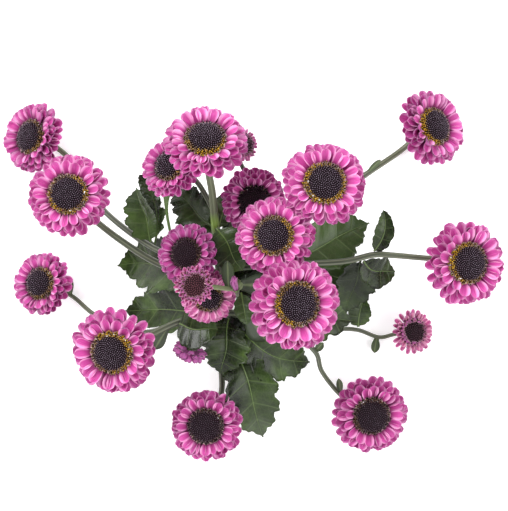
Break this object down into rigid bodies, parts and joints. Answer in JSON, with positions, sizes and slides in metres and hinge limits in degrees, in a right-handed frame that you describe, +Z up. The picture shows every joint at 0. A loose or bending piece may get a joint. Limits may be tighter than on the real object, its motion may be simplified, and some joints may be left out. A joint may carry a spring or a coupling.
{
  "type": "pompon chrysanthemum",
  "caption": "Cut spray of small chrysanthemums lying down: pink ray florets round dark domed eyes, arching green stalks and lobed leaves.",
  "frame": {"origin": "on the surface that the spray lies on, under the middle of its outline", "axes": "+Z up, the way the blooms face; +X to the picture's right, along the spread of the blooms; +Y from the cut end of the main stem to the bloom at its top, up in the picture"},
  "size_m": [0.2671, 0.1994, 0.1127],
  "materials": {
    "stem": "fresh grey-green stalks, matt, finely ribbed",
    "leaf": "dark green lobed leaves with a soft sheen and paler midribs",
    "ray_florets": "pink to magenta ray florets, velvety, paler at the rims",
    "disc_florets": "packed dark purple-brown disc florets, matt"
  },
  "bodies": {
    "root": {"stem": "stem", "bloom_01_rays": "ray_florets", "bloom_01_disc": "disc_florets", "bloom_02_rays": "ray_florets", "bloom_02_disc": "disc_florets", "bloom_03_rays": "ray_florets", "bloom_03_disc": "disc_florets", "bloom_04_rays": "ray_florets", "bloom_04_disc": "disc_florets", "bloom_05_rays": "ray_florets", "bloom_05_disc": "disc_florets", "bloom_06_rays": "ray_florets", "bloom_06_disc": "disc_florets", "bloom_07_rays": "ray_florets", "bloom_07_disc": "disc_florets", "bloom_08_rays": "ray_florets", "bloom_08_disc": "disc_florets", "bloom_09_rays": "ray_florets", "bloom_09_disc": "disc_florets", "bloom_10_rays": "ray_florets", "bloom_10_disc": "disc_florets", "bloom_11_rays": "ray_florets", "bloom_11_disc": "disc_florets", "bloom_12_rays": "ray_florets", "bloom_12_disc": "disc_florets", "bloom_13_rays": "ray_florets", "bloom_13_disc": "disc_florets", "bloom_14_rays": "ray_florets", "bloom_14_disc": "disc_florets", "bloom_15_rays": "ray_florets", "bloom_15_disc": "disc_florets", "bloom_16_rays": "ray_florets", "bloom_16_disc": "disc_florets", "bloom_17_rays": "ray_florets", "bloom_17_disc": "disc_florets", "bloom_18_rays": "ray_florets", "bloom_18_disc": "disc_florets", "bloom_19_rays": "ray_florets", "bloom_19_disc": "disc_florets", "bloom_20_rays": "ray_florets", "bloom_21_rays": "ray_florets", "leaf_01": "leaf", "leaf_02": "leaf", "leaf_03": "leaf", "leaf_04": "leaf", "leaf_05": "leaf", "leaf_06": "leaf", "leaf_07": "leaf", "leaf_08": "leaf", "leaf_09": "leaf", "leaf_10": "leaf", "leaf_11": "leaf", "leaf_12": "leaf", "leaf_13": "leaf", "leaf_14": "leaf", "leaf_15": "leaf", "leaf_16": "leaf", "leaf_17": "leaf", "leaf_18": "leaf", "leaf_19": "leaf"}
  },
  "joints": []
}
